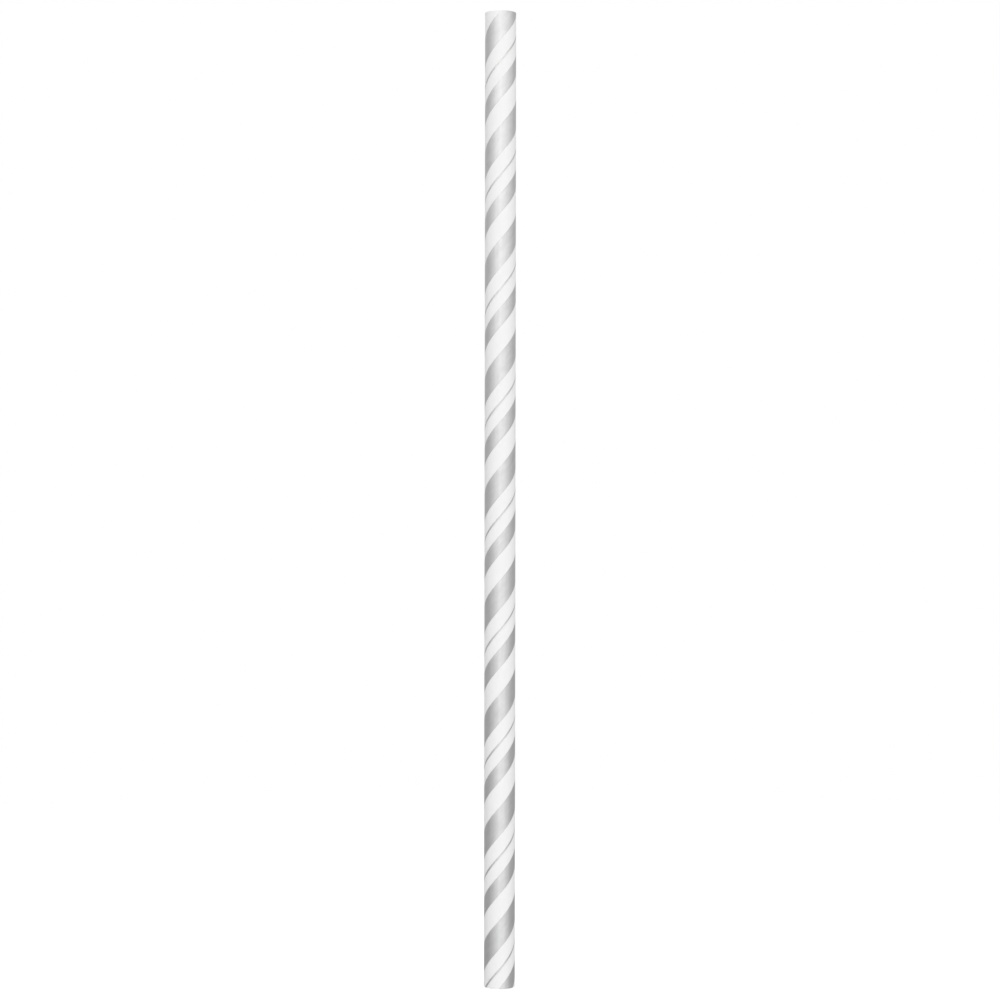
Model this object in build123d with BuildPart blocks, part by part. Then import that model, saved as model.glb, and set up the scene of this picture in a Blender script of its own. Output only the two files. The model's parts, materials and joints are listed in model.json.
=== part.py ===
"""A spiral-wound paper drinking straw: three paper plies, two films of paste and three bands of silver foil.

The straw stands upright. +Z runs along its axis, the origin is the middle of its lower end, and the front is
towards -Y. Every ply is one long strip that was wound round a mandrel, edge to edge. Its edges touch, so each
ply is a closed tube here. The foil bands follow the same right-hand helix. All sizes are in millimetres.
"""

import os
from math import ceil

from build123d import *

# Whole straw
straw_length = 197.0
mandrel_diameter = 5.5
winding_pitch = 22.87  # along the axis, for one turn of any strip

# Thickness of each layer, from the bore outwards
core_paper = 0.13  # about 120 g/m2
paste_film = 0.02
face_paper = 0.07  # about 60 g/m2
silver_foil = 0.01

# Foil bands, in pitches down from the start of the wide stripe on the front: (upper edge, lower edge)
wide_stripe = (0.0, 0.2585)
edge_line = (0.4265, 0.4485)
narrow_stripe = (0.6005, 0.776)

# What is cut from a sleeve of foil winds from above the straw to below it, in flat facets round the axis
turns = ceil(straw_length / winding_pitch) + 2
facets_per_turn = 24
cutter_margin = 0.2  # beyond each face of the foil

# Radii of the faces between the layers
bore_radius = mandrel_diameter / 2
inner_ply_outside = bore_radius + core_paper
middle_ply_inside = inner_ply_outside + paste_film
middle_ply_outside = middle_ply_inside + core_paper
outer_ply_inside = middle_ply_outside + paste_film
outer_ply_outside = outer_ply_inside + face_paper
straw_radius = outer_ply_outside + silver_foil


def wound_band(inside, outside, upper_edge, lower_edge):
    """A helical band that overruns both ends, with its edges given in pitches down from the wide stripe."""
    width = (lower_edge - upper_edge) * winding_pitch
    middle = (lower_edge + upper_edge) / 2
    sections = []
    for facet in range(turns * facets_per_turn + 1):
        # The wide stripe's upper edge meets the top of the front, and the first section is a turn above it.
        turned = facet / facets_per_turn
        outward = Vector(0, -1, 0).rotate(Axis.Z, -360 * turned)
        height = straw_length + (1 - turned - middle) * winding_pitch
        sections.append(
            Plane(
                origin=outward * inside + Vector(0, 0, height),
                x_dir=outward,
                z_dir=Vector(0, 0, 1).cross(outward),
            )
        )
    with BuildPart() as band:
        with BuildSketch(*sections):
            Rectangle(outside - inside, width, align=(Align.MIN, Align.CENTER))
        loft(ruled=True)
    return band.part


def sleeve(inside, outside, cutter=None):
    """A tube as long as the straw, less the cutter if there is one."""
    with BuildPart() as layer:
        with BuildSketch():
            Circle(outside)
            Circle(inside, mode=Mode.SUBTRACT)
        extrude(amount=straw_length)
        if cutter:
            add(cutter, mode=Mode.SUBTRACT)
    return layer.part


def foil_band(edges):
    """One band of foil on the outside of the outer ply: a sleeve of foil, less the turns of bare paper."""
    upper_edge, lower_edge = edges
    bare_paper = wound_band(
        outer_ply_outside - cutter_margin, straw_radius + cutter_margin, lower_edge - 1, upper_edge
    )
    return sleeve(outer_ply_outside, straw_radius, bare_paper)


inner_ply = sleeve(bore_radius, inner_ply_outside)
paste_film_inner = sleeve(inner_ply_outside, middle_ply_inside)
middle_ply = sleeve(middle_ply_inside, middle_ply_outside)
paste_film_outer = sleeve(middle_ply_outside, outer_ply_inside)
outer_ply = sleeve(outer_ply_inside, outer_ply_outside)

os.makedirs("parts", exist_ok=True)
pieces = {
    "inner_ply": inner_ply,
    "paste_film_inner": paste_film_inner,
    "middle_ply": middle_ply,
    "paste_film_outer": paste_film_outer,
    "outer_ply": outer_ply,
    "foil_wide_stripe": foil_band(wide_stripe),
    "foil_narrow_stripe": foil_band(narrow_stripe),
    "foil_edge_line": foil_band(edge_line),
}
for name, piece in pieces.items():
    piece.label = name
    export_step(piece, f"parts/{name}.step")
    print(name, len(piece.solids()), "solid,", round(piece.volume, 2), "mm3")

print("straw diameter", round(2 * straw_radius, 3))
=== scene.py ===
"""The looks of a spiral-wound paper drinking straw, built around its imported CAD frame.

Each paper ply is one strip, wound edge to edge along a right-hand helix and pasted to the next, and the
silver bands are foil on the outer strip. Sizes are in metres and places come from the frame: +Z runs up the
straw's axis, the lower end stands on z = 0, and -Y is the front.
"""

import json
import logging
from collections.abc import Callable
from dataclasses import dataclass
from enum import Enum
from math import cos, hypot, pi, radians, sin
from typing import Any

import bpy
import numpy as np
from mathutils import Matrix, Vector


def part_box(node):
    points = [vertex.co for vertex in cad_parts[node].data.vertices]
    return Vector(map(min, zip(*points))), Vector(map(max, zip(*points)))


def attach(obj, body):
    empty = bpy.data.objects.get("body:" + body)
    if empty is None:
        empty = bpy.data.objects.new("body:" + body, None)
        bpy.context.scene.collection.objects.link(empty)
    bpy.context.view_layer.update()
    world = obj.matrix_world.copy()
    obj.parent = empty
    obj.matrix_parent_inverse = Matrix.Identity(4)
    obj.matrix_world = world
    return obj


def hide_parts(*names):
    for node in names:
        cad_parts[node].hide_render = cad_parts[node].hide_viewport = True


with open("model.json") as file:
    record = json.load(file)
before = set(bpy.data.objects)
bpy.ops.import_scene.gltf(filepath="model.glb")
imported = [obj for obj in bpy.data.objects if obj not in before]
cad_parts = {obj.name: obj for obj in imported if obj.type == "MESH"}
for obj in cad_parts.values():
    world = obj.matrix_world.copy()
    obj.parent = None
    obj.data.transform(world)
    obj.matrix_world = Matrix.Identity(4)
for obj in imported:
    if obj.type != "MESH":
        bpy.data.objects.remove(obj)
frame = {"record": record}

LOG = logging.getLogger("straw")
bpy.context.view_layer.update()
MM = 0.001
QUARTER_TURN = 0.25
WHOLE_TURN = 2 * pi
STEPS = 128  # facets round one turn
SMOOTH_BELOW = radians(12)
SAME_PLACE = 0.0001 * MM  # points nearer to each other than this are one
STRIP_MAP = "strip"  # the UV map that follows a strip: along it and across it, in millimetres

Socket = bpy.types.NodeSocket
Value = Socket | float | tuple[float, ...]
Colour = tuple[float, float, float]
Range = tuple[float, float]


def mount(name: str) -> dict[str, Any]:
    """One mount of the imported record.

    Args:
        name: The mount's name.

    Returns:
        The mount as the record holds it.
    """
    return next(m for m in frame["record"]["mounts"] if m["name"] == name)


# The winding, as it is in the CAD model
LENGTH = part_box("paste_film_inner")[1].z
BORE = mount("bore")["dims"]["r_mm"] * MM
OUTSIDE = mount("outside")["dims"]["r_mm"] * MM
PITCH = 22.87 * MM
OUTER_SEAM = 0.4515  # in pitches, down from the start of the wide stripe on the front
PLY_STAGGER = 1 / 3  # of a pitch, between the seams of neighbouring plies

# Where the outer strip bridges the seams beneath: (millimetres across it, how much of the relief it sinks)
STRIP_WIDTH = 14.8
SEAMS_BENEATH = ((STRIP_WIDTH * PLY_STAGGER, 1.0), (STRIP_WIDTH * 2 * PLY_STAGGER, 0.45))
SEAM_REACH = 0.42  # millimetres, on each side
SEAM_WANDER = 0.12  # millimetres, over a few millimetres of the strip
SEAM_RELIEF = 0.025 * MM

MOST_NOISE = (0.3, 0.7)  # the range that cloudy noise seldom leaves


class End(Enum):
    """An end of the straw. The value is the way it faces along Z."""

    TOP = 1
    BOTTOM = -1


class Pick(Enum):
    """What is selected in edit mode."""

    VERTICES = "VERT"
    EDGES = "EDGE"
    FACES = "FACE"


class Sum(Enum):
    """What a Math node works out."""

    ADD = "ADD"
    SUBTRACT = "SUBTRACT"
    MULTIPLY = "MULTIPLY"
    ABSOLUTE = "ABSOLUTE"


def only(piece: bpy.types.Object | None) -> None:
    """Select one piece alone and make it active.

    Args:
        piece: The piece, or None to select nothing at all.
    """
    bpy.ops.object.select_all(action="DESELECT")
    bpy.context.view_layer.objects.active = piece
    if piece:
        piece.select_set(True)


def edit(piece: bpy.types.Object, pick: Pick = Pick.VERTICES) -> None:
    """Open a piece in edit mode with nothing selected.

    Args:
        piece: The object to edit.
        pick: What is selected in edit mode.
    """
    only(piece)
    bpy.ops.object.mode_set(mode="EDIT")
    bpy.ops.mesh.select_mode(type=pick.value)
    bpy.ops.mesh.select_all(action="DESELECT")


def leave() -> None:
    """Go back to object mode."""
    bpy.ops.object.mode_set(mode="OBJECT")


def select_edges(piece: bpy.types.Object, wanted: Callable[[Vector, Vector], bool]) -> None:
    """Select the edges that are wanted, with the piece left in edit mode.

    Args:
        piece: The object in edit mode.
        wanted: Says whether an edge is wanted, from the places of its two ends.
    """
    bpy.ops.mesh.select_mode(type=Pick.EDGES.value)
    bpy.ops.mesh.select_all(action="DESELECT")
    leave()
    mesh = piece.data
    for edge in mesh.edges:
        first, last = (mesh.vertices[i].co for i in edge.vertices)
        edge.select = wanted(first, last)
    bpy.ops.object.mode_set(mode="EDIT")


def apply_last(piece: bpy.types.Object) -> None:
    """Apply the piece's newest modifier."""
    only(piece)
    bpy.ops.object.modifier_apply(modifier=piece.modifiers[-1].name)


def turn_outwards(piece: bpy.types.Object) -> None:
    """Make all the faces of a closed piece point outwards, and shade its curves smooth.

    Args:
        piece: The finished mesh.
    """
    edit(piece, Pick.FACES)
    bpy.ops.mesh.select_all(action="SELECT")
    bpy.ops.mesh.normals_make_consistent(inside=False)
    leave()
    bpy.ops.object.shade_smooth_by_angle(angle=SMOOTH_BELOW)


def enrol(piece: bpy.types.Object) -> None:
    """Put a finished piece in the place of the CAD node that it is named after.

    Args:
        piece: The finished piece, named for its node with _look at the end.
    """
    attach(piece, "root")
    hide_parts(piece.name.removesuffix("_look"))


class Nodes:
    """A material's node tree, with short ways to add what the finishes need."""

    COLOUR_A, COLOUR_B, MIXED_COLOUR = 6, 7, 2  # the Mix node's sockets for colours

    def __init__(self, name: str) -> None:
        """Start an empty material.

        Args:
            name: The material's name.
        """
        self.material = bpy.data.materials.new(name)
        self.material.use_nodes = True
        self.tree = self.material.node_tree
        self.tree.nodes.clear()
        self.shader = self.add("ShaderNodeBsdfPrincipled")
        self.output = self.add("ShaderNodeOutputMaterial")
        self.tree.links.new(self.shader.outputs[0], self.output.inputs["Surface"])

    def add(self, kind: str, **settings: Any) -> bpy.types.Node:
        """Add a node.

        Args:
            kind: The node's type.
            **settings: Its properties.

        Returns:
            The node.
        """
        node = self.tree.nodes.new(kind)
        for key, value in settings.items():
            setattr(node, key, value)
        return node

    def feed(self, socket: Socket, value: Value) -> None:
        """Link a socket to another, or set its value.

        Args:
            socket: The input socket.
            value: An output socket, a number or a tuple.
        """
        if isinstance(value, Socket):
            self.tree.links.new(value, socket)
        else:
            socket.default_value = value

    def give(self, **values: Value) -> None:
        """Feed the shader's inputs.

        Args:
            **values: What to feed, by the input's name in small letters with _ for a space.
        """
        inputs = {socket.name.lower().replace(" ", "_"): socket for socket in self.shader.inputs}
        for key, value in values.items():
            self.feed(inputs[key], value)

    def strip_place(self, along: float = 1.0, across: float = 1.0) -> Socket:
        """Where a point lies on its strip, in millimetres, stretched for a pattern.

        Args:
            along: How many pattern cells a millimetre along the strip takes.
            across: The same for a millimetre across it.

        Returns:
            The socket of the place.
        """
        uv = self.add("ShaderNodeUVMap", uv_map=STRIP_MAP)
        mapping = self.add("ShaderNodeMapping")
        mapping.inputs["Scale"].default_value = (along, across, 1.0)
        self.feed(mapping.inputs["Vector"], uv.outputs["UV"])
        return mapping.outputs["Vector"]

    def solid_place(self, cells: float) -> Socket:
        """Where a point lies in the object, in pattern cells.

        Args:
            cells: Pattern cells in a metre.

        Returns:
            The socket of the place.
        """
        place = self.add("ShaderNodeTexCoord")
        mapping = self.add("ShaderNodeMapping")
        mapping.inputs["Scale"].default_value = (cells, cells, cells)
        self.feed(mapping.inputs["Vector"], place.outputs["Object"])
        return mapping.outputs["Vector"]

    def noise(self, place: Socket, detail: float = 3.0, rough: float = 0.55) -> Socket:
        """Cloudy noise at a scale of one, from 0 to 1.

        Args:
            place: The socket of the place.
            detail: How many finer layers it has.
            rough: How strong the finer layers are.

        Returns:
            The socket of the noise.
        """
        node = self.add("ShaderNodeTexNoise")
        self.feed(node.inputs["Vector"], place)
        self.feed(node.inputs["Scale"], 1.0)
        self.feed(node.inputs["Detail"], detail)
        self.feed(node.inputs["Roughness"], rough)
        return node.outputs["Fac"]

    def remap(self, value: Value, old: Range, new: Range = (0.0, 1.0), eased: bool = False) -> Socket:
        """Bring a value from one range to another, and hold it there.

        Args:
            value: The socket of the value.
            old: The two ends of its range.
            new: What they become.
            eased: Whether it leaves and reaches the ends gently.

        Returns:
            The socket of the new value.
        """
        node = self.add("ShaderNodeMapRange", interpolation_type="SMOOTHSTEP" if eased else "LINEAR")
        for key, number in zip(("From Min", "From Max", "To Min", "To Max"), (*old, *new)):
            self.feed(node.inputs[key], number)
        self.feed(node.inputs["Value"], value)
        return node.outputs["Result"]

    def combine(self, operation: Sum, first: Value, second: Value = 0.0) -> Socket:
        """Do a sum.

        Args:
            operation: What to work out.
            first: A socket or a number.
            second: A socket or a number.

        Returns:
            The socket of the result.
        """
        node = self.add("ShaderNodeMath", operation=operation.value)
        self.feed(node.inputs[0], first)
        self.feed(node.inputs[1], second)
        return node.outputs[0]

    def mingle(self, first: Socket, share: float, second: Socket) -> Socket:
        """Add two patterns together, each by its share.

        Args:
            first: The socket of the first pattern.
            share: How much of the whole it is.
            second: The socket of the second pattern, which is the rest.

        Returns:
            The socket of the result.
        """
        one = self.combine(Sum.MULTIPLY, first, share)
        other = self.combine(Sum.MULTIPLY, second, 1 - share)
        return self.combine(Sum.ADD, one, other)

    def blend(self, amount: Value, first: Value, second: Value) -> Socket:
        """Mix two colours.

        Args:
            amount: 0 for the first colour, 1 for the second.
            first: A socket or a colour.
            second: A socket or a colour.

        Returns:
            The socket of the mixed colour.
        """
        node = self.add("ShaderNodeMix", data_type="RGBA")
        self.feed(node.inputs["Factor"], amount)
        for socket, colour in ((self.COLOUR_A, first), (self.COLOUR_B, second)):
            self.feed(node.inputs[socket], colour if isinstance(colour, Socket) else (*colour, 1))
        return node.outputs[self.MIXED_COLOUR]

    def bump(self, height: Value, depth: float, under: Socket | None = None) -> Socket:
        """Raise the surface a little.

        Args:
            height: The socket of the height, from 0 to 1.
            depth: How deep the relief is, in metres.
            under: The socket of a normal that this relief lies on, if there is one.

        Returns:
            The socket of the normal.
        """
        node = self.add("ShaderNodeBump")
        self.feed(node.inputs["Strength"], 1.0)
        self.feed(node.inputs["Distance"], depth)
        self.feed(node.inputs["Height"], height)
        if under is not None:
            self.feed(node.inputs["Normal"], under)
        return node.outputs["Normal"]

    def fibres(self) -> Socket:
        """Paper fibres that run along the strip."""
        return self.noise(self.strip_place(2.2, 16.0), 5.0, 0.62)

    def tooth(self) -> Socket:
        """The fine tooth of a paper's surface."""
        return self.noise(self.strip_place(26.0, 34.0), 2.0)

    def bridged_seams(self) -> Socket:
        """The normal of the outer strip, with hollows where it bridges the seams of the plies beneath.

        Returns:
            The socket of the normal.
        """
        uv = self.add("ShaderNodeUVMap", uv_map=STRIP_MAP)
        split = self.add("ShaderNodeSeparateXYZ")
        self.feed(split.inputs[0], uv.outputs["UV"])
        wander = self.combine(Sum.MULTIPLY, self.noise(self.strip_place(0.3, 0.0)), SEAM_WANDER)
        across = self.combine(Sum.ADD, split.outputs["Y"], wander)
        hollows: Value = 0.0
        for seam, depth in SEAMS_BENEATH:
            past_seam = self.combine(Sum.SUBTRACT, across, seam + SEAM_WANDER / 2)
            away = self.combine(Sum.ABSOLUTE, past_seam)
            hollow = self.remap(away, (0.0, SEAM_REACH), (depth, 0.0), eased=True)
            hollows = self.combine(Sum.ADD, hollow, hollows)
        return self.bump(self.combine(Sum.SUBTRACT, 1.0, hollows), SEAM_RELIEF)


@dataclass(frozen=True)
class Paper:
    """Paper whose fibres run along the strip, with cloudy formation and a felt-like relief."""

    name: str
    colour: Colour
    shade: Colour
    roughness: float
    relief: float  # of the fibres, in metres
    fuzz: float
    bridges_seams: bool = False
    clouds: tuple[float, float] = (0.55, 0.8)  # cells a millimetre, along and across
    fibre_share: float = 0.55  # of the mottle, where the clouds are the rest
    mottle: Range = (0.32, 0.68)  # the noise that is all shade and all colour
    unevenness: float = 0.07  # of the roughness, each way
    tooth_relief: float = 0.35  # of the fibres' relief
    gloss: float = 0.35
    fuzz_roughness: float = 0.4

    def material(self) -> bpy.types.Material:
        """The paper as a material.

        Returns:
            A material of its own for one piece.
        """
        nodes = Nodes(self.name)
        fibres, tooth = nodes.fibres(), nodes.tooth()
        clouds = nodes.noise(nodes.strip_place(*self.clouds))
        mottle = nodes.remap(nodes.mingle(fibres, self.fibre_share, clouds), self.mottle)
        under = nodes.bridged_seams() if self.bridges_seams else None
        felt = nodes.bump(fibres, self.relief, under)
        smooth, rough = self.roughness - self.unevenness, self.roughness + self.unevenness
        nodes.give(
            base_color=nodes.blend(mottle, self.shade, self.colour),
            roughness=nodes.remap(fibres, MOST_NOISE, (smooth, rough)),
            normal=nodes.bump(tooth, self.relief * self.tooth_relief, felt),
            specular_ior_level=self.gloss,
            sheen_weight=self.fuzz,
            sheen_roughness=self.fuzz_roughness,
        )
        return nodes.material


@dataclass(frozen=True)
class Foil:
    """Satin silver foil, which shows the paper's fibres through it and has a few pinholes."""

    name: str
    colour: Colour
    paper: Colour
    roughness: float
    relief: float
    clouds: tuple[float, float] = (0.5, 0.9)  # cells a millimetre, along and across
    tarnish: float = 0.93  # how bright the dullest patches are, next to the brightest
    patches: Range = (0.35, 0.65)  # the noise that is all dull and all bright
    specks: tuple[float, float] = (9.0, 12.0)  # cells a millimetre, along and across
    pinholes: Range = (0.735, 0.76)  # the noise that is all foil and all bare paper
    unevenness: float = 0.04  # of the roughness, each way
    tooth_relief: float = 0.3  # of the fibres' relief

    def material(self) -> bpy.types.Material:
        """The foil as a material.

        Returns:
            A material of its own for one piece.
        """
        nodes = Nodes(self.name)
        fibres, tooth = nodes.fibres(), nodes.tooth()
        clouds = nodes.remap(nodes.noise(nodes.strip_place(*self.clouds)), self.patches)
        specks = nodes.noise(nodes.strip_place(*self.specks), 2.0, 0.5)
        bare = nodes.remap(specks, self.pinholes)
        dull = tuple(part * self.tarnish for part in self.colour)
        felt = nodes.bump(fibres, self.relief, nodes.bridged_seams())
        smooth, rough = self.roughness - self.unevenness, self.roughness + self.unevenness
        nodes.give(
            base_color=nodes.blend(bare, nodes.blend(clouds, dull, self.colour), self.paper),
            metallic=nodes.combine(Sum.SUBTRACT, 1.0, bare),
            roughness=nodes.remap(fibres, MOST_NOISE, (smooth, rough)),
            normal=nodes.bump(tooth, self.relief * self.tooth_relief, felt),
        )
        return nodes.material


@dataclass(frozen=True)
class CutPaper:
    """The cut end of a wound wall: fibres and thin layers that lie along the wall."""

    name: str
    colour: Colour
    shade: Colour
    layers: float = 60000.0  # cells in a metre, outwards
    fibres: float = 14000.0  # cells in a metre, all ways
    layer_share: float = 0.4  # of the grain, where the fibres are the rest
    grain: Range = (0.36, 0.64)  # the noise that is all shade and all colour
    relief: float = 0.012 * MM
    roughness: float = 0.85
    gloss: float = 0.2

    def material(self) -> bpy.types.Material:
        """The cut as a material.

        Returns:
            A material of its own for one piece.
        """
        nodes = Nodes(self.name)
        place = nodes.add("ShaderNodeTexCoord")
        split = nodes.add("ShaderNodeSeparateXYZ")
        nodes.feed(split.inputs[0], place.outputs["Object"])
        flat = nodes.add("ShaderNodeCombineXYZ")
        nodes.feed(flat.inputs["X"], split.outputs["X"])
        nodes.feed(flat.inputs["Y"], split.outputs["Y"])
        radius = nodes.add("ShaderNodeVectorMath", operation="LENGTH")
        nodes.feed(radius.inputs[0], flat.outputs[0])
        outwards = nodes.add("ShaderNodeCombineXYZ")
        nodes.feed(outwards.inputs["X"], nodes.combine(Sum.MULTIPLY, radius.outputs["Value"], self.layers))
        layers = nodes.noise(outwards.outputs[0], 2.0)
        fibres = nodes.noise(nodes.solid_place(self.fibres), 4.0, 0.65)
        grain = nodes.mingle(layers, self.layer_share, fibres)
        tone = nodes.remap(grain, self.grain)
        nodes.give(
            base_color=nodes.blend(tone, self.shade, self.colour),
            normal=nodes.bump(grain, self.relief),
            roughness=self.roughness,
            specular_ior_level=self.gloss,
        )
        return nodes.material


@dataclass(frozen=True)
class DriedPaste:
    """Dried water-based paste, a little glossy and cloudy."""

    name: str = "dried_paste"
    colour: Colour = (0.86, 0.84, 0.77)
    shade: Colour = (0.78, 0.75, 0.66)
    clouds: float = 2600.0  # cells in a metre
    patches: Range = (0.35, 0.65)  # the noise that is all shade and all colour
    roughness: Range = (0.34, 0.5)
    relief: float = 0.006 * MM

    def material(self) -> bpy.types.Material:
        """The paste as a material.

        Returns:
            A material of its own for one piece.
        """
        nodes = Nodes(self.name)
        clouds = nodes.noise(nodes.solid_place(self.clouds), 4.0)
        tone = nodes.remap(clouds, self.patches)
        nodes.give(
            base_color=nodes.blend(tone, self.shade, self.colour),
            roughness=nodes.remap(clouds, MOST_NOISE, self.roughness),
            normal=nodes.bump(clouds, self.relief),
        )
        return nodes.material


WHITE = (0.965, 0.965, 0.965)
CORE_WHITE = (0.9, 0.89, 0.86)
FACE_FINISH = Paper("face_paper", WHITE, (0.935, 0.935, 0.935), 0.5, 0.009 * MM, 0.35, bridges_seams=True)
CORE_FINISH = Paper("core_paper", CORE_WHITE, (0.84, 0.83, 0.79), 0.75, 0.014 * MM, 0.1)
FACE_CUT = CutPaper("face_paper_cut", (0.92, 0.92, 0.91), (0.8, 0.8, 0.78))
CORE_CUT = CutPaper("core_paper_cut", CORE_WHITE, (0.74, 0.72, 0.67))
SILVER_FINISH = Foil("silver_foil", (0.686, 0.689, 0.687), WHITE, 0.36, 0.003 * MM)
SILVER_CUT = Foil("silver_foil_cut", (0.66, 0.66, 0.66), WHITE, 0.5, 0.002 * MM)


@dataclass
class WoundStrip:
    """A strip wound into a helix, closed all round and cut off square at both ends of the straw.

    The edges are places on the straw's pattern, in pitches down from the start of the wide stripe.
    """

    name: str
    slot: str
    inside: float
    outside: float
    upper_edge: float
    lower_edge: float
    finish: Paper | Foil
    cut: CutPaper | Foil
    gap: float = 0.0  # of bare space that the winding leaves at the strip's edges, along the axis
    corner: float = 0.02 * MM  # radius of the slit edges
    corner_segments: int = 3
    recess: float = 0.0  # how far short of the straw's ends it stops
    map_start: float = OUTER_SEAM  # the seam that the flat paper's map is measured from
    cuts_across: int = 8
    spare_turns: int = 4  # wound beyond the straw, and cut off: half of them below it
    lip: float = 0.012 * MM  # how far the cut ends' corners are broken
    steepest_cut: float = 0.7  # a face that looks along the axis more than this is a cut end's

    def height(self, place: float) -> float:
        """The height at which a place on the pattern crosses +X, low enough to wind on from there."""
        below_top = LENGTH + PITCH * QUARTER_TURN - place * PITCH
        return below_top - (below_top // PITCH + self.spare_turns // 2) * PITCH

    def cross_section(self) -> bpy.types.Object:
        """The strip's outline in the XZ plane, as a wire.

        Returns:
            The outline.
        """
        width = (self.lower_edge - self.upper_edge) * PITCH - self.gap
        middle = (self.lower_edge + self.upper_edge) / 2
        only(None)
        bpy.ops.mesh.primitive_plane_add(
            size=1,
            location=((self.inside + self.outside) / 2, 0, self.height(middle)),
            rotation=(pi / 2, 0, 0),
        )
        strip = bpy.context.object
        strip.name = strip.data.name = self.name
        strip.scale = (self.outside - self.inside, width, 1)
        bpy.ops.object.transform_apply(location=True, rotation=True, scale=True)
        edit(strip)
        bpy.ops.mesh.select_all(action="SELECT")
        bpy.ops.mesh.bevel(offset=self.corner, segments=self.corner_segments, affect="VERTICES")
        bpy.ops.mesh.select_mode(type=Pick.FACES.value)
        bpy.ops.mesh.select_all(action="SELECT")
        bpy.ops.mesh.delete(type="ONLY_FACE")
        select_edges(strip, lambda first, last: abs(first.z - last.z) > width / 2)
        bpy.ops.mesh.subdivide(number_cuts=self.cuts_across)
        leave()
        return strip

    def wind(self, strip: bpy.types.Object) -> None:
        """Wind the outline along the helix, past both ends of the straw.

        Args:
            strip: The outline, which becomes the wound strip.
        """
        only(strip)
        bpy.ops.object.modifier_add(type="SCREW")
        screw = strip.modifiers[-1]
        screw.angle = WHOLE_TURN
        screw.screw_offset = PITCH
        screw.iterations = int(LENGTH // PITCH) + self.spare_turns
        screw.steps = screw.render_steps = STEPS
        apply_last(strip)

    def trim(self, strip: bpy.types.Object, end: End) -> None:
        """Cut the strip off square, close the cut and break its sharp corners.

        Args:
            strip: The wound strip.
            end: The end of the straw to cut at.
        """
        edit(strip, Pick.FACES)
        outward = end.value
        rim = LENGTH - self.recess if end is End.TOP else self.recess
        level = rim - outward * 2 * self.lip
        bpy.ops.mesh.select_all(action="SELECT")
        bpy.ops.mesh.bisect(
            plane_co=(0, 0, level), plane_no=(0, 0, outward), clear_outer=True, threshold=SAME_PLACE
        )
        select_edges(strip, lambda first, last: max(abs(first.z - level), abs(last.z - level)) < SAME_PLACE)
        bpy.ops.mesh.edge_face_add()
        bpy.ops.mesh.select_mode(type=Pick.FACES.value)
        leave()
        cap = next(face for face in strip.data.polygons if face.select)
        turned_in = cap.normal.z * outward < 0
        bpy.ops.object.mode_set(mode="EDIT")
        if turned_in:
            bpy.ops.mesh.flip_normals()
        for narrowing in (self.lip / 3, self.lip * 2 / 3):
            bpy.ops.mesh.inset(thickness=narrowing, depth=self.lip)
        leave()

    def lay_map(self, strip: bpy.types.Object) -> None:
        """Give the strip a UV map that is its flat paper: along it and across it, in millimetres.

        Args:
            strip: The finished strip.
        """
        mesh = strip.data
        places = np.empty(len(mesh.vertices) * 3)
        mesh.vertices.foreach_get("co", places)
        x, y, z = places.reshape(-1, 3).T
        angle = np.arctan2(y, x)
        pattern = (LENGTH - z) / PITCH + angle / WHOLE_TURN + QUARTER_TURN
        turn = np.floor(pattern - self.map_start)
        girth = pi * (self.inside + self.outside)
        strip_long = hypot(girth, PITCH)  # of one turn
        along = ((angle / WHOLE_TURN - turn) * girth**2 + z * PITCH) / strip_long
        across = (pattern - turn - self.map_start) * PITCH * girth / strip_long
        flat = np.column_stack((along, across)) / MM
        corners = np.empty(len(mesh.loops), dtype=np.int32)
        mesh.loops.foreach_get("vertex_index", corners)
        layer = mesh.uv_layers.new(name=STRIP_MAP)
        layer.data.foreach_set("uv", flat[corners].ravel())

    def dress(self, strip: bpy.types.Object) -> None:
        """Give the faces their finish, and the cut ends another.

        Args:
            strip: The finished strip.
        """
        strip.data.materials.append(self.finish.material())
        strip.data.materials.append(self.cut.material())
        for face in strip.data.polygons:
            face.material_index = int(abs(face.normal.z) > self.steepest_cut)

    def build(self) -> bpy.types.Object:
        """Make the strip.

        Returns:
            The finished piece.
        """
        strip = self.cross_section()
        self.wind(strip)
        for end in End:
            self.trim(strip, end)
        turn_outwards(strip)
        self.lay_map(strip)
        self.dress(strip)
        enrol(strip)
        return strip


@dataclass
class PasteFilm:
    """The film of dried paste between two plies, which stops a hair short of the straw's ends."""

    name: str
    inside: float
    outside: float
    finish: DriedPaste = DriedPaste()
    recess: float = 0.03 * MM

    def tube(self) -> bpy.types.Object:
        """Draw the film up from a circle and give it its thickness.

        Returns:
            The bare film.
        """
        only(None)
        bpy.ops.mesh.primitive_circle_add(
            vertices=STEPS, radius=(self.inside + self.outside) / 2, location=(0, 0, self.recess)
        )
        film = bpy.context.object
        film.name = film.data.name = self.name
        bpy.ops.object.transform_apply(location=True, rotation=True, scale=True)
        edit(film)
        bpy.ops.mesh.select_all(action="SELECT")
        rise = (0, 0, LENGTH - 2 * self.recess)
        bpy.ops.mesh.extrude_region_move(TRANSFORM_OT_translate={"value": rise})
        leave()
        bpy.ops.object.modifier_add(type="SOLIDIFY")
        wall = film.modifiers[-1]
        wall.thickness = self.outside - self.inside
        wall.offset = 0
        apply_last(film)
        return film

    def build(self) -> bpy.types.Object:
        """Make the film.

        Returns:
            The finished piece.
        """
        film = self.tube()
        turn_outwards(film)
        film.data.materials.append(self.finish.material())
        enrol(film)
        return film


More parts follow.
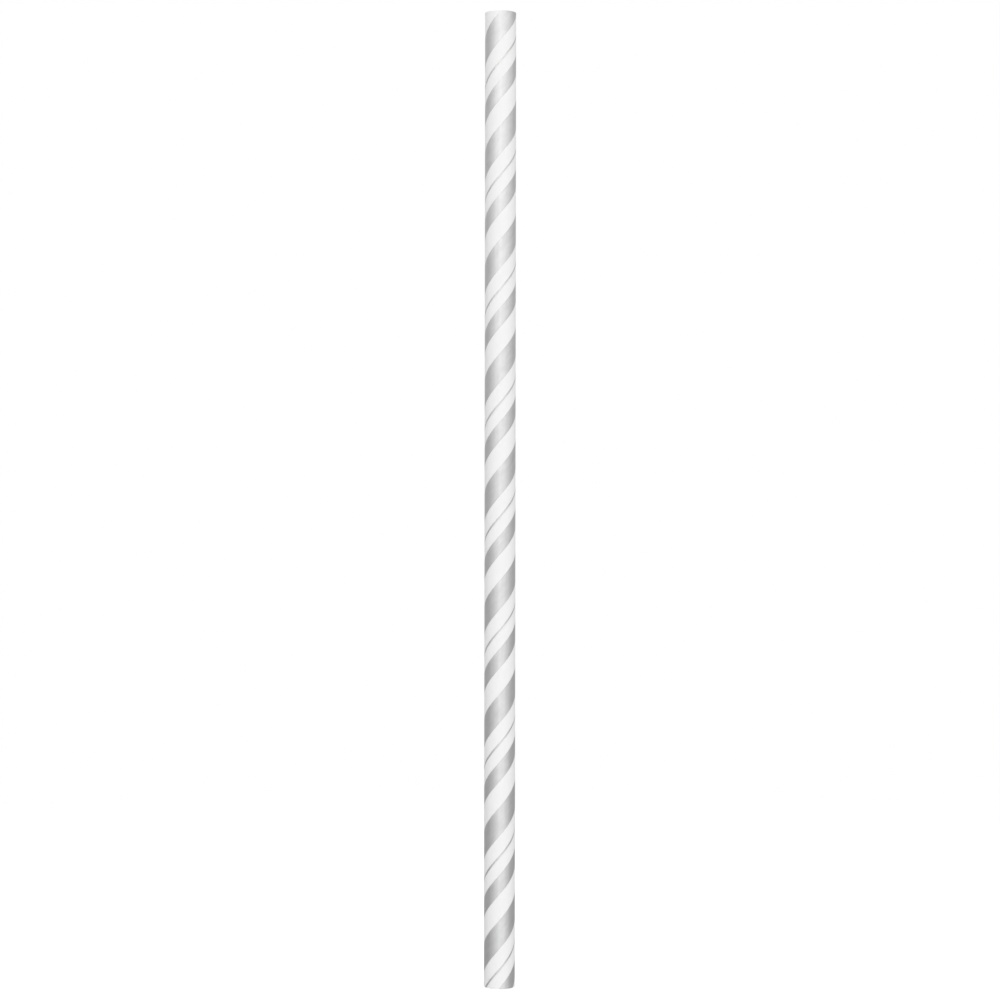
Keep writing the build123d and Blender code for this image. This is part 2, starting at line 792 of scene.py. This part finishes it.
@dataclass
class Straw:
    """The whole straw, from the bore outwards: three plies, two films of paste and three silver bands."""

    core_paper: float = 0.13 * MM
    paste: float = 0.02 * MM
    face_paper: float = 0.07 * MM
    foil: float = 0.01 * MM
    core_gap: float = 0.05 * MM  # left open by each seam
    face_gap: float = 0.1 * MM
    wide_stripe: Range = (0.0, 0.2585)  # the bands' edges, in pitches down from the first
    edge_line: Range = (0.4265, 0.4485)
    narrow_stripe: Range = (0.6005, 0.776)

    def __post_init__(self) -> None:
        """Work out the radii between the layers."""
        self.inner_outside = BORE + self.core_paper
        self.middle_inside = self.inner_outside + self.paste
        self.middle_outside = self.middle_inside + self.core_paper
        self.outer_inside = self.middle_outside + self.paste
        self.outer_outside = self.outer_inside + self.face_paper

    def plies(self) -> list[WoundStrip]:
        """The three strips of paper.

        Returns:
            The strips, from the bore outwards, not yet built.
        """
        inner_seam, middle_seam = OUTER_SEAM + 2 * PLY_STAGGER, OUTER_SEAM + PLY_STAGGER
        return [
            WoundStrip(
                "inner_ply_look", "core_paper", BORE, self.inner_outside,
                inner_seam, inner_seam + 1, CORE_FINISH, CORE_CUT,
                gap=self.core_gap, corner=0.03 * MM, map_start=inner_seam,
            ),
            WoundStrip(
                "middle_ply_look", "core_paper", self.middle_inside, self.middle_outside,
                middle_seam, middle_seam + 1, CORE_FINISH, CORE_CUT,
                gap=self.core_gap, corner=0.03 * MM, recess=0.006 * MM, map_start=middle_seam,
            ),
            WoundStrip(
                "outer_ply_look", "face_paper", self.outer_inside, self.outer_outside,
                OUTER_SEAM, OUTER_SEAM + 1, FACE_FINISH, FACE_CUT,
                gap=self.face_gap, corner=0.025 * MM, recess=0.004 * MM,
            ),
        ]

    def bands(self) -> list[WoundStrip]:
        """The silver bands on the outer strip.

        Returns:
            The bands, not yet built.
        """
        edges = {
            "foil_wide_stripe": self.wide_stripe,
            "foil_edge_line": self.edge_line,
            "foil_narrow_stripe": self.narrow_stripe,
        }
        return [
            WoundStrip(
                f"{name}_look", "silver_foil", OUTSIDE - self.foil, OUTSIDE,
                upper, lower, SILVER_FINISH, SILVER_CUT,
                corner=0.004 * MM, recess=0.02 * MM, lip=0.002 * MM,
            )
            for name, (upper, lower) in edges.items()
        ]

    def films(self) -> list[PasteFilm]:
        """The paste between the plies.

        Returns:
            The films, from the bore outwards, not yet built.
        """
        return [
            PasteFilm("paste_film_inner_look", self.inner_outside, self.middle_inside),
            PasteFilm("paste_film_outer_look", self.middle_outside, self.outer_inside),
        ]

    def build(self) -> list[bpy.types.Object]:
        """Make every piece.

        Returns:
            The finished pieces.
        """
        return [part.build() for part in (*self.plies(), *self.bands(), *self.films())]


@dataclass
class Studio:
    """A pale floor, a white surround, soft lights and the camera."""

    floor_fades: Range = (0.1, 0.3)  # radii between which it fades out
    floor_glow: float = 0.3  # so that it is as white as the surround
    floor_colour: Colour = (0.92, 0.92, 0.92)
    floor_roughness: float = 0.9
    floor_gloss: float = 0.1
    surround: float = 0.53  # how brightly it lights the straw from above the horizon
    surround_below: float = 0.35  # and from below it
    surround_fades: Range = (-0.5, 0.0)  # heights between which the two meet
    softboxes: tuple[tuple[float, float, float], ...] = (  # degrees to the right, then watts: low and high
        (0, 1.41, 1.87),
        (30, 1.29, 1.48),
        (-30, 0.77, 1.47),
        (60, 0.62, 1.07),
        (-60, 0.31, 0.75),
        (90, 0.09, 0.59),
        (-90, 0.0, 0.3),
        (130, 0.0, 0.2),
        (-130, 0.0, 0.22),
        (180, 0.5, 1.0),
    )
    light_tilt: float = 20  # degrees below and above the straw's middle
    light_distance: float = 1.3
    light_size: tuple[float, float] = (0.62, 0.9)
    overhead_height: float = 1.4
    overhead_size: tuple[float, float] = (1.6, 1.6)
    overhead_power: float = 6.1
    camera_distance: float = 466.8 * MM
    camera_height: float = 106.1 * MM
    camera_dip: float = radians(0.904)
    camera_roll: float = radians(0.079)
    lens: float = 83.0
    nearest_seen: float = 0.01

    def floor(self) -> None:
        """A plain floor under the straw, which fades into the white surround and only the camera sees."""
        only(None)
        bpy.ops.mesh.primitive_circle_add(
            vertices=STEPS, radius=self.floor_fades[1], fill_type="NGON", location=(0, 0, 0)
        )
        floor = bpy.context.object
        floor.name = "floor"
        nodes = Nodes("pale_floor")
        nodes.give(
            base_color=(*self.floor_colour, 1),
            roughness=self.floor_roughness,
            specular_ior_level=self.floor_gloss,
            emission_color=(1, 1, 1, 1),
            emission_strength=self.floor_glow,
        )
        place = nodes.add("ShaderNodeTexCoord")
        radius = nodes.add("ShaderNodeVectorMath", operation="LENGTH")
        nodes.feed(radius.inputs[0], place.outputs["Object"])
        near = nodes.remap(radius.outputs["Value"], self.floor_fades, (1.0, 0.0), eased=True)
        path = nodes.add("ShaderNodeLightPath")
        geometry = nodes.add("ShaderNodeNewGeometry")
        seen = nodes.combine(Sum.MULTIPLY, near, path.outputs["Is Camera Ray"])
        from_above = nodes.combine(Sum.SUBTRACT, 1.0, geometry.outputs["Backfacing"])
        clear = nodes.add("ShaderNodeBsdfTransparent")
        mix = nodes.add("ShaderNodeMixShader")
        nodes.feed(mix.inputs[0], nodes.combine(Sum.MULTIPLY, seen, from_above))
        nodes.feed(mix.inputs[1], clear.outputs[0])
        nodes.feed(mix.inputs[2], nodes.shader.outputs[0])
        nodes.feed(nodes.output.inputs["Surface"], mix.outputs[0])
        floor.data.materials.append(nodes.material)

    def light(
        self, name: str, place: tuple[float, float, float], size: tuple[float, float], power: float
    ) -> None:
        """Add a soft light that faces the middle of the straw.

        Args:
            name: Its name.
            place: Where it hangs, in metres.
            size: Its width and height.
            power: Its power in watts.
        """
        only(None)
        bpy.ops.object.light_add(type="AREA", location=place)
        lamp = bpy.context.object
        lamp.name = name
        lamp.data.shape = "RECTANGLE"
        lamp.data.size, lamp.data.size_y = size
        lamp.data.energy = power
        aim = Vector((0, 0, LENGTH / 2)) - Vector(place)
        lamp.rotation_euler = aim.to_track_quat("-Z", "Y").to_euler()

    def softbox(self, turned: float, tilt: float, power: float) -> None:
        """Hang one of the soft lights round the straw.

        Args:
            turned: Its angle from the front, in degrees to the right.
            tilt: Its angle above the straw's middle, in degrees.
            power: Its power in watts.
        """
        right, up = radians(turned), radians(tilt)
        reach = self.light_distance * cos(up)
        place = (reach * sin(right), -reach * cos(right), LENGTH / 2 + self.light_distance * sin(up))
        self.light(f"softbox_{turned}_{tilt}", place, self.light_size, power)

    def surroundings(self) -> None:
        """A white surround, which lights the straw less than it shows."""
        world = bpy.data.worlds.new("white_surround")
        bpy.context.scene.world = world
        world.use_nodes = True
        nodes, links = world.node_tree.nodes, world.node_tree.links
        background = nodes["Background"]
        path = nodes.new("ShaderNodeLightPath")
        direction = nodes.new("ShaderNodeTexCoord")
        split = nodes.new("ShaderNodeSeparateXYZ")
        links.new(direction.outputs["Generated"], split.inputs[0])
        light = nodes.new("ShaderNodeMapRange")
        ends = (*self.surround_fades, self.surround_below, self.surround)
        for key, number in zip(("From Min", "From Max", "To Min", "To Max"), ends):
            light.inputs[key].default_value = number
        links.new(split.outputs["Z"], light.inputs["Value"])
        strength = nodes.new("ShaderNodeMapRange")
        strength.inputs["To Max"].default_value = 1.0
        links.new(light.outputs["Result"], strength.inputs["To Min"])
        links.new(path.outputs["Is Camera Ray"], strength.inputs["Value"])
        background.inputs["Color"].default_value = (1, 1, 1, 1)
        links.new(strength.outputs["Result"], background.inputs["Strength"])

    def camera(self) -> None:
        """The camera, a little above the middle of the straw and dipped by about a degree."""
        only(None)
        bpy.ops.object.camera_add(
            location=(0, -self.camera_distance, self.camera_height),
            rotation=(pi / 2 - self.camera_dip, 0, 0),
        )
        camera = bpy.context.object
        camera.name = "camera"
        camera.rotation_euler.rotate_axis("Z", self.camera_roll)
        camera.data.lens = self.lens
        camera.data.clip_start = self.nearest_seen
        bpy.context.scene.camera = camera

    def build(self) -> None:
        """Set up the whole studio."""
        bpy.context.scene.view_settings.view_transform = "Standard"
        self.floor()
        self.surroundings()
        for turned, *powers in self.softboxes:
            for tilt, power in zip((-self.light_tilt, self.light_tilt), powers):
                if power:
                    self.softbox(turned, tilt, power)
        self.light("overhead", (0, 0, self.overhead_height), self.overhead_size, self.overhead_power)
        self.camera()


def main() -> None:
    """Build the straw and its studio, and report each piece."""
    logging.basicConfig(level=logging.INFO, format="%(name)s: %(message)s")
    for piece in Straw().build():
        LOG.info("%s: %d faces", piece.name, len(piece.data.polygons))
    Studio().build()


if __name__ == "__main__":
    main()
